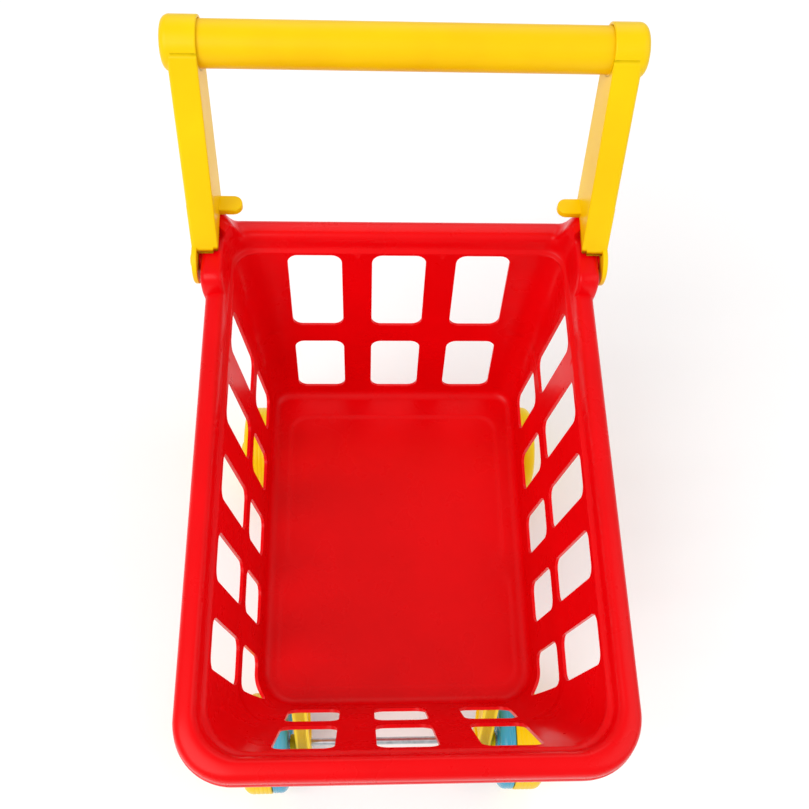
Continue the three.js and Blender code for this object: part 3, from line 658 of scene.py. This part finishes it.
lean = math.radians(25.4)
handle_half_width = 141.2
arm_outer = handle_half_width - 4.0
arm_inner = arm_outer - 17.4
arm_wall, arm_reach, bar_set_back = 2.5, 139.7, 9.0
collar_radius, dome_length = 15.9, 5.0
web_face = collar_radius - bar_set_back
depth_top, depth_foot, foot_up = 28.7, 36.0, 31.0
lobe_radius, lobe_inner = 15.5, 133.7
ear_cut, corner_cut, corner_from = rim_top + 12.5 + 0.7, rim_top + 18.4 + 0.8, 339.3
notch_rise, notch_width = 1.5, 3.4
bar_radius, bar_half = 13.7, 136.8


def on_arm(up, forward):
    """Distance and height of a point by its place up the arm and forward of it: axes turned by the lean."""
    distance = pin_distance + up * math.sin(lean) - forward * math.cos(lean)
    return distance, pin_height + up * math.cos(lean) + forward * math.sin(lean)


bar_distance, bar_height = on_arm(arm_reach, -bar_set_back)


def arm_channel():
    """The channel's outline carried up the arm, deepening to its foot, from a level cut with a notch."""
    half_depth = 30.0
    xo, xi, wall = arm_outer, arm_inner, arm_wall
    section = filleted([
        (xo, -half_depth, 1.0), (xo, 0.0, 2.6),
        (xi + notch_width, 0.0, 0.0), (xi + notch_width - 0.3, 0.0, 0.0),
        (xi, 0.0, 0.9), (xi, -half_depth, 1.0),
        (xi + wall, -half_depth, 1.0), (xi + wall, -wall, 1.2),
        (xi + notch_width - 0.3, -wall, 0.0), (xi + notch_width, -wall, 0.0),
        (xo - wall, -wall, 1.2), (xo - wall, -half_depth, 1.0),
    ])
    x, back = section[:, 0], -section[:, 1]
    step = np.clip((xi + notch_width - x) / 0.3, 0.0, 1.0)

    def forward_of(up):
        """How far forward of the arm's line the outline lies: its depth is stretched past the first 5 mm."""
        depth = depth_foot + (depth_top - depth_foot) * (up - foot_up) / (arm_reach - foot_up)
        stretched = 5.0 + (back - 5.0) * (depth - 5.0) / (half_depth - 5.0)
        return web_face - np.where(back > 5.0, stretched, back)

    up = np.zeros_like(x)
    for _ in range(12):
        forward = forward_of(up)
        distance = on_arm(up, forward)[0]
        cut = np.where(distance < corner_from, ear_cut + notch_rise * step, corner_cut)
        up = (cut - pin_height - forward * math.sin(lean)) / math.cos(lean)
    share = np.linspace(0.0, 1.0, 36)[:, None]
    ups = up[None] * (1 - share) + arm_reach * share
    distance, height = on_arm(ups, forward_of(ups))
    points = np.stack([np.broadcast_to(x, ups.shape), distance, height], axis=-1).reshape(-1, 3)
    count = len(x)
    caps = [np.arange(count)[None, ::-1], 35 * count + np.arange(count)[None]]
    return facing_out(points, [grid_faces(36, count), *caps])


collar = turned(filleted([
    (0.0, arm_inner + 8.0, 0.0), (bar_radius + 0.3, arm_inner + 8.0, 0.0),
    (bar_radius + 0.3, arm_inner, 0.6), (collar_radius, arm_inner, 0.9),
    (collar_radius, handle_half_width, dome_length), (0.0, handle_half_width, 0.0),
], 8), 96)
lobe = turned(filleted([
    (3.2, lobe_inner, 0.2), (lobe_radius, lobe_inner, 0.7),
    (lobe_radius, arm_outer - 0.1, 1.1), (3.2, arm_outer - 0.1, 0.4),
]), 80)
flange = np.array([
    (*on_arm(2.0, web_face - 0.4), 1.5), (*on_arm(44.0, web_face - 0.4), 0.0), (*on_arm(44.0, -26.0), 0.0),
    (*on_arm(30.0, -28.2), 5.0), (*on_arm(9.0, -24.5), 5.0), (*on_arm(-2.0, -14.6), 3.0),
])
flange_plate = plate(filleted(flange), lobe_inner + 0.1, arm_outer - 0.2, 0.8)
peg_foot = rim_top + 18.4 + 0.3
peg_outline = filleted([
    (arm_inner - 15.0, 349.0, 5.9), (arm_inner + 2.2, 349.0, 0.0), (arm_inner + 2.2, 361.0, 0.0),
    (arm_inner - 15.0, 361.0, 5.9),
], 8)
peg = plate(peg_outline, peg_foot, peg_foot + 5.2, 0.9, axis=2)
# Yellow polypropylene: warm, with the same polished gloss as the basket.
yellow_plastic = moulded_plastic("moulded yellow polypropylene", "#f4cc00", "#eec000", "#f8d400", 0.32)
arm = joined(
    moved(arm_channel(), 0.0, front_y, 0.0),
    moved(collar, 0.0, front_y + bar_distance, bar_height),
    moved(lobe, 0.0, front_y + pin_distance, pin_height),
    moved(flange_plate, 0.0, front_y, 0.0),
    moved(peg, 0.0, front_y, 0.0),
)
shell_piece("arm_right", arm, yellow_plastic, "cart", "yellow_plastic", "handle_arm_right")
shell_piece("arm_left", mirrored(arm), yellow_plastic, "cart", "yellow_plastic", "handle_arm_left")

# ------------------------------------------------------------------------------------------- handle bar
# A plain extruded yellow tube, cut to length and plugged into the two collars.

bar = turned([
    (bar_radius - 2.2, -bar_half), (bar_radius, -bar_half), (bar_radius, -arm_inner), (bar_radius, -60.0),
    (bar_radius, 0.0), (bar_radius, 60.0), (bar_radius, arm_inner), (bar_radius, bar_half),
    (bar_radius - 2.2, bar_half), (bar_radius - 2.2, 0.0),
], 96)
# The tube is the same yellow with a drier, drawn surface along its length.
drawn_tube = moulded_plastic("extruded yellow tube", "#f4c600", "#edb900", "#f8ce00", 0.36, ripple_mm=14.0)
bar = moved(bar, 0.0, front_y + bar_distance, bar_height)
shell_piece("bar_tube", bar, drawn_tube, "cart", "yellow_plastic", "handle_bar")

# ------------------------------------------------------------------------------------------- handle pins
# Yellow push-in pins with a broad domed head join each arm's lobe to the basket's ear.

pin_head = arm_outer + 0.3
pin = turned(filleted([
    (0.0, 120.0, 0.0), (2.9, 120.0, 0.5), (2.9, pin_head, 0.0), (6.0, pin_head, 0.3),
    (5.7, pin_head + 1.3, 0.8), (3.4, pin_head + 2.2, 2.0), (0.0, pin_head + 2.4, 0.0),
]), 48)
pin = moved(pin, 0.0, front_y + pin_distance, pin_height)
shell_piece("pin_right", pin, yellow_plastic, "cart", "yellow_plastic", "handle_pin_right")
shell_piece("pin_left", mirrored(pin), yellow_plastic, "cart", "yellow_plastic", "handle_pin_left")

# ------------------------------------------------------------------------------------------- screws
# Zinc-plated self-tapping screws with cross recesses: one behind each end of the bar, and two in each
# leg's foot.


def metal(name, colour, rough, turning_mm):
    """Plated steel: neutral tint, fine turning marks and patches of duller plating."""
    material = bpy.data.materials.new(name)
    material.use_nodes = True
    tree = material.node_tree
    shader = tree.nodes["Principled BSDF"]
    place = add_node(tree, "ShaderNodeTexCoord").outputs["Object"]
    patch = add_node(tree, "ShaderNodeTexNoise", {"Scale": 1 / (4 * MM), "Detail": 4.0}, {"Vector": place})
    tint = add_node(tree, "ShaderNodeValToRGB", links={"Fac": patch.outputs["Fac"]})
    tint.color_ramp.elements[0].color, tint.color_ramp.elements[1].color = srgb(colour), srgb("#d9dcdf")
    tree.links.new(tint.outputs["Color"], shader.inputs["Base Color"])
    shine = add_node(tree, "ShaderNodeMapRange", {"To Min": rough - 0.08, "To Max": rough + 0.12},
                     {"Value": patch.outputs["Fac"]})
    tree.links.new(shine.outputs["Result"], shader.inputs["Roughness"])
    marks = add_node(tree, "ShaderNodeTexNoise", {"Scale": 1 / (turning_mm * MM), "Detail": 2.0},
                     {"Vector": place})
    relief = add_node(tree, "ShaderNodeBump", {"Strength": 0.15, "Distance": 0.03 * MM},
                      {"Height": marks.outputs["Fac"]})
    tree.links.new(relief.outputs["Normal"], shader.inputs["Normal"])
    shader.inputs["Metallic"].default_value = 1.0
    return material


def cross_recess(radius, x, angle, face, depth):
    """Sinks the middle of a screw's head in two crossed slots: depth falls off smoothly at a slot's sides."""
    across_slot = np.minimum(np.abs(radius * np.sin(angle)), np.abs(radius * np.cos(angle)))
    along_slot = np.maximum(np.abs(radius * np.sin(angle)), np.abs(radius * np.cos(angle)))
    slot = np.clip((0.55 - across_slot) / 0.2, 0, 1) * np.clip((1.9 - along_slot) / 0.5, 0, 1)
    return radius, np.where(x > face, x - depth * slot, x)


def screw(head_face, shank_end):
    """A pan head above the face and a shank down to its end, turned about X with the head towards +X."""
    head = [(0.0, head_face + 2.1), (0.3, head_face + 2.1), (0.6, head_face + 2.1), (0.9, head_face + 2.08),
            (1.2, head_face + 2.05), (1.5, head_face + 2.0), (1.8, head_face + 1.92), (2.1, head_face + 1.8),
            (2.5, head_face + 1.55), (2.9, head_face + 1.1), (3.15, head_face + 0.5), (3.15, head_face)]
    shank = [(1.4, head_face - 0.2), (1.4, shank_end + 2.0), (0.5, shank_end), (0.0, shank_end)]
    return turned(head + shank, 48, lambda r, x, a: cross_recess(r, x, a, head_face + 0.6, 1.2))


# Bright zinc plate with a faint blue cast.
zinc = metal("zinc plated steel", "#a9aeb4", 0.3, 0.4)
bar_screw_x = arm_inner + 8.7
head_at = collar_radius + 0.3
points, blocks = screw(head_at, bar_radius - 6.2)
backwards = np.array([math.cos(lean), -math.sin(lean)])
sideways = np.array([math.sin(lean), math.cos(lean)])
turned_back = np.stack([
    points[:, 1],
    points[:, 0] * backwards[0] + points[:, 2] * sideways[0],
    points[:, 0] * backwards[1] + points[:, 2] * sideways[1],
], axis=-1)
bar_screw_part = facing_out(turned_back, blocks)
bar_screw_part = moved(bar_screw_part, bar_screw_x, front_y + bar_distance, bar_height)
shell_piece("bar_screw_steel_right", bar_screw_part, zinc, "cart", "steel", "bar_screw_right")
shell_piece("bar_screw_steel_left", mirrored(bar_screw_part), zinc, "cart", "steel", "bar_screw_left")

foot_top, foot_thickness = floor_underside - boss_height - 0.3, 4.0
foot_underside = foot_top - foot_thickness - 0.3
points, blocks = screw(-foot_underside, -(floor_underside - 1.5))
head_down = np.stack([points[:, 2], points[:, 1], -points[:, 0]], axis=-1)
leg_screw_part = facing_out(head_down, blocks)
for number, (x, distance) in enumerate(screw_spots):
    end_name = ("front", "back")[number // 2]
    for side, side_name in ((1, "right"), (-1, "left")):
        node = f"{end_name}_leg_screw_{number % 2 + 1}_{side_name}"
        spot = moved(leg_screw_part, side * x, front_y + distance, 0.0)
        shell_piece(f"{node}_steel", spot, zinc, "cart", "steel", node)

# ------------------------------------------------------------------------------------------- legs
# Four yellow legs: a foot plate screwed up under the floor, a tapering blade and a round eye for the axle.

axle_height, axle_hole = 40.0, 3.3
foot_length, foot_width, leg_thickness, eye_radius = 46.0, 34.0, 12.0, 11.0


def leg(axle, foot, inner_x):
    """Foot plate, tapering blade with a shallow pocketed rim on both sides, and the eye, for the +X side."""
    middle = inner_x + leg_thickness / 2 - foot_width / 4
    a, b = middle - foot_width / 2, middle + foot_width / 2
    c, d = foot - foot_length / 2, foot + foot_length / 2
    foot_plate = plate(filleted([(a, c, 5.0), (b, c, 5.0), (b, d, 5.0), (a, d, 5.0)]),
                       foot_top - foot_thickness, foot_top, 0.7, axis=2)
    top, low = foot_top - 1.0, axle_height + 4.0
    blade = np.array([
        (c + 4.0, top, 0.0), (d - 4.0, top, 0.0), (axle + 10.4, low, 0.0), (axle - 10.4, low, 0.0),
    ])
    web = plate(filleted(blade), inner_x + 1.6, inner_x + leg_thickness - 1.6, 0.8)
    edges = []
    for first, second in ((0, 3), (1, 2)):
        start, end = blade[first, :2], blade[second, :2]
        inward = 3.2 if first == 0 else -3.2
        bar_outline = [(start[0], start[1], 0.0), (end[0], end[1], 0.0), (end[0] + inward, end[1], 0.0),
                       (start[0] + inward, start[1], 0.0)]
        edges.append(plate(filleted(bar_outline), inner_x, inner_x + leg_thickness, 0.9))
    eye = turned(filleted([
        (axle_hole, inner_x, 0.4), (eye_radius, inner_x, 1.2), (eye_radius, inner_x + leg_thickness, 1.2),
        (axle_hole, inner_x + leg_thickness, 0.4),
    ]), 72)
    return joined(
        moved(foot_plate, 0.0, front_y, 0.0), moved(web, 0.0, front_y, 0.0),
        *[moved(edge, 0.0, front_y, 0.0) for edge in edges], moved(eye, 0.0, front_y + axle, axle_height),
    )


AXLES = (
    {"name": "front", "axle": 47.0, "foot": 93.0, "track": 246.0, "leg_x": 68.7},
    {"name": "back", "axle": 312.0, "foot": 280.0, "track": 270.0, "leg_x": 80.7},
)
for spot in AXLES:
    part = leg(spot["axle"], spot["foot"], spot["leg_x"])
    name = spot["name"]
    shell_piece(f"{name}_leg_moulding_right", part, yellow_plastic, "cart", "yellow_plastic",
                f"{name}_leg_right")
    shell_piece(f"{name}_leg_moulding_left", mirrored(part), yellow_plastic, "cart", "yellow_plastic",
                f"{name}_leg_left")

# ------------------------------------------------------------------------------------------- axles
# Two plain steel rods, each through both legs with a wheel at each end, held by push-on yellow caps and
# spaced from the legs by short yellow bushes.

# Drawn rod: duller than the screws, with fine scratches.
rod_steel = metal("drawn steel rod", "#9ba0a6", 0.34, 0.25)
for spot in AXLES:
    name, half = spot["name"], spot["track"] / 2 + 3.0
    rod = turned(filleted([(0.0, -half, 0.0), (3.0, -half, 0.6), (3.0, half, 0.6), (0.0, half, 0.0)]), 48)
    rod = moved(rod, 0.0, front_y + spot["axle"], axle_height)
    shell_piece(f"{name}_axle_rod", rod, rod_steel, "cart", "steel", f"{name}_axle")
    bush_x = spot["leg_x"] + leg_thickness + 0.3
    spacer = moved(tube(3.3, 6.5, bush_x, bush_x + 5.4, 0.6), 0.0, front_y + spot["axle"], axle_height)
    face, end = spot["track"] / 2 - 2.7, spot["track"] / 2 + 3.3
    cap = turned(filleted([
        (0.0, end, 0.0), (3.3, end, 0.0), (3.3, face, 0.0), (9.0, face, 0.4), (9.0, face + 2.6, 1.0),
        (7.4, end + 0.7, 1.5), (4.0, end + 2.0, 2.0), (0.0, end + 2.2, 0.0),
    ]), 64)
    cap = moved(cap, 0.0, front_y + spot["axle"], axle_height)
    for side_name, turn_side in (("right", lambda part: part), ("left", mirrored)):
        shell_piece(f"{name}_bush_ring_{side_name}", turn_side(spacer), yellow_plastic, "cart",
                    "yellow_plastic", f"{name}_bush_{side_name}")
        shell_piece(f"{name}_cap_{side_name}", turn_side(cap), yellow_plastic, "cart", "yellow_plastic",
                    f"{name}_axle_cap_{side_name}")

# ------------------------------------------------------------------------------------------- wheels
# Each wheel is two mouldings on one axle: a broad yellow outer half with a rounded shoulder and a dished
# face, and a narrower clear blue inner half. Both have shallow grooves round the tread.

wheel_radius, wheel_bore = 40.0, 3.3
outer_width, inner_width = 23.5, 12.5


def spokes(radius, x, angle, face, side, inner, outer, depth, count):
    """Sinks the dish between raised spokes: full depth away from each spoke's line, between two radii."""
    ridge = np.clip((np.abs(np.sin(angle * count / 2)) * radius - 2.6) / 1.4, 0, 1)
    band = np.clip((radius - inner) / 1.6, 0, 1) * np.clip((outer - radius) / 1.6, 0, 1)
    near = np.clip(1 - np.abs(x - face) / 2.5, 0, 1)
    return radius, x - side * depth * ridge * band * near


def tread(start, end, radius, count, depth):
    """Points along a tread with evenly spaced shallow grooves: the radius dips by a raised cosine."""
    x = np.linspace(start, end, count * 8 + 1)
    phase = (x - start) / (end - start) * count
    dip = depth * (0.5 - 0.5 * np.cos(2 * np.pi * phase)) ** 6
    return list(zip(radius - dip, x))


def yellow_half(outer_x):
    """Outline (radius, x) of the outer half: tread, round shoulder, dished face and hub, spun about X."""
    inner_x = outer_x - outer_width
    shoulder = [(wheel_radius - 8 * (1 - math.cos(a)), outer_x - 8 * (1 - math.sin(a)))
                for a in np.radians(np.linspace(4, 90, 14))]
    face = [(radius, outer_x) for radius in (31.0, 29.5)] + [(28.2, outer_x - 0.25), (27.3, outer_x - 1.0)]
    dish = [(24.6, outer_x - 4.4), (23.6, outer_x - 5.0)]
    dish += [(radius, outer_x - 5.0) for radius in np.linspace(22.8, 12.8, 15)]
    hub = [(12.0, outer_x - 4.9), (11.2, outer_x - 4.3), (10.4, outer_x - 3.3), (9.8, outer_x - 3.0)]
    end = [(wheel_bore, outer_x - 3.0), (wheel_bore, inner_x)]
    outline = [(wheel_radius - 1.2, inner_x), (wheel_radius - 0.5, inner_x + 0.2)]
    outline += [(wheel_radius - 0.1, inner_x + 0.7)]
    outline += tread(inner_x + 1.2, outer_x - 8.6, wheel_radius, 4, 0.35)
    outline += shoulder + face + dish + hub + end
    return turned(outline, 160, lambda r, x, a: spokes(r, x, a, outer_x - 5.0, 1, 12.8, 23.4, 2.2, 6))


def blue_half(inner_x):
    """Outline (radius, x) of the inner half: hub, dished face, round shoulder and tread, spun about X."""
    outer_x, radius = inner_x + inner_width, wheel_radius - 0.6
    hub = [(wheel_bore, outer_x), (wheel_bore, inner_x + 1.0), (8.6, inner_x + 1.0), (9.3, inner_x + 1.3)]
    dish = [(10.6, inner_x + 3.4), (11.4, inner_x + 4.0)]
    dish += [(r, inner_x + 4.0) for r in np.linspace(12.2, 24.0, 15)]
    lip = [(25.0, inner_x + 3.9), (26.0, inner_x + 2.8), (27.4, inner_x + 0.5), (28.6, inner_x)]
    shoulder = [(radius - 6 * (1 - math.sin(a)), inner_x + 6 * (1 - math.cos(a)))
                for a in np.radians(np.linspace(0, 86, 12))]
    end = [(radius - 0.3, outer_x - 0.6), (radius - 1.2, outer_x)]
    outline = hub + dish + lip + shoulder + tread(inner_x + 6.5, outer_x - 1.2, radius, 2, 0.3) + end
    return turned(outline, 160, lambda r, x, a: spokes(r, x, a, inner_x + 4.0, -1, 12.2, 24.0, 2.2, 6))


# Blue wheel halves: clearer, glossier polystyrene that lets a little light into its edges.
blue_plastic = moulded_plastic("clear tinted blue polystyrene", "#4fbfe0", "#2fa6cb", "#6fd2ea", 0.2)
blue_plastic.node_tree.nodes["Principled BSDF"].inputs["Transmission Weight"].default_value = 0.25
blue_plastic.node_tree.nodes["Principled BSDF"].inputs["IOR"].default_value = 1.59
for spot in AXLES:
    name, outer_x = spot["name"], spot["track"] / 2
    outer_half = moved(yellow_half(outer_x), 0.0, front_y + spot["axle"], axle_height)
    inner_half = blue_half(outer_x - outer_width - 0.3 - inner_width)
    inner_half = moved(inner_half, 0.0, front_y + spot["axle"], axle_height)
    for side_name, turn_side in (("right", lambda part: part), ("left", mirrored)):
        body = f"{name}_wheel_{side_name}"
        shell_piece(f"{body}_yellow_half", turn_side(outer_half), yellow_plastic, body, "yellow_plastic",
                    f"{name}_wheel_outer_{side_name}")
        shell_piece(f"{body}_blue_half", turn_side(inner_half), blue_plastic, body, "blue_plastic",
                    f"{name}_wheel_inner_{side_name}")


# ------------------------------------------------------------------------------------------ stage and camera
# A plain pale floor, soft light from above and the left, and the camera that looks down into the basket
# from in front.

camera_place = (-0.0261, front_y * MM - 0.0261, 0.8831)
camera_dip, camera_turn, camera_roll = 1.1399, 0.108, 0.0977
focal_length = 42.0

ahead = np.array([
    math.sin(camera_turn) * math.cos(camera_dip),
    math.cos(camera_turn) * math.cos(camera_dip),
    -math.sin(camera_dip),
])
level = np.array([math.cos(camera_turn), -math.sin(camera_turn), 0.0])
upright = np.cross(level, ahead)
across = level * math.cos(camera_roll) + upright * math.sin(camera_roll)
overhead = upright * math.cos(camera_roll) - level * math.sin(camera_roll)
camera = bpy.data.objects.new("camera", bpy.data.cameras.new("camera"))
bpy.context.scene.collection.objects.link(camera)
camera.data.lens = focal_length
camera.data.sensor_width = 36.0
axes = Matrix((across, overhead, -ahead)).transposed().to_4x4()
camera.matrix_world = Matrix.Translation(camera_place) @ axes
bpy.context.scene.camera = camera

floor_material = bpy.data.materials.new("matt white floor")
floor_material.use_nodes = True
floor_tree = floor_material.node_tree
floor_tree.nodes["Principled BSDF"].inputs["Base Color"].default_value = srgb("#ffffff")
floor_tree.nodes["Principled BSDF"].inputs["Roughness"].default_value = 0.9
floor_mesh = bpy.data.meshes.new("floor")
floor_mesh.from_pydata([(-6, -6, 0), (6, -6, 0), (6, 6, 0), (-6, 6, 0)], [], [(0, 1, 2, 3)])
floor_mesh.materials.append(floor_material)
stage_floor = bpy.data.objects.new("floor", floor_mesh)
bpy.context.scene.collection.objects.link(stage_floor)


def soft_light(name, size, power, place, aim):
    """A square area light at a place, with its -Z axis turned to the point it aims at."""
    light = bpy.data.lights.new(name, "AREA")
    light.shape = "SQUARE"
    light.size = size
    light.energy = power
    lamp = bpy.data.objects.new(name, light)
    bpy.context.scene.collection.objects.link(lamp)
    away = np.array(place, dtype=float) - np.array(aim, dtype=float)
    away /= np.linalg.norm(away)
    side = np.cross((0.0, 1.0, 0.0), away)
    side /= np.linalg.norm(side)
    top = np.cross(away, side)
    lamp.matrix_world = Matrix.Translation(place) @ Matrix((side, top, away)).transposed().to_4x4()


soft_light("key light", 1.6, 30.0, (-1.2, -0.9, 1.9), (0.0, 0.0, 0.25))
soft_light("fill light", 2.0, 14.0, (1.6, -0.5, 1.6), (0.0, 0.0, 0.25))
soft_light("back light", 1.4, 8.0, (0.2, 1.7, 1.5), (0.0, 0.0, 0.3))
world = bpy.data.worlds.new("studio")
world.use_nodes = True
world.node_tree.nodes["Background"].inputs["Color"].default_value = (1.0, 1.0, 1.0, 1.0)
world.node_tree.nodes["Background"].inputs["Strength"].default_value = 0.56
bpy.context.scene.world = world
bpy.context.scene.view_settings.view_transform = "Standard"
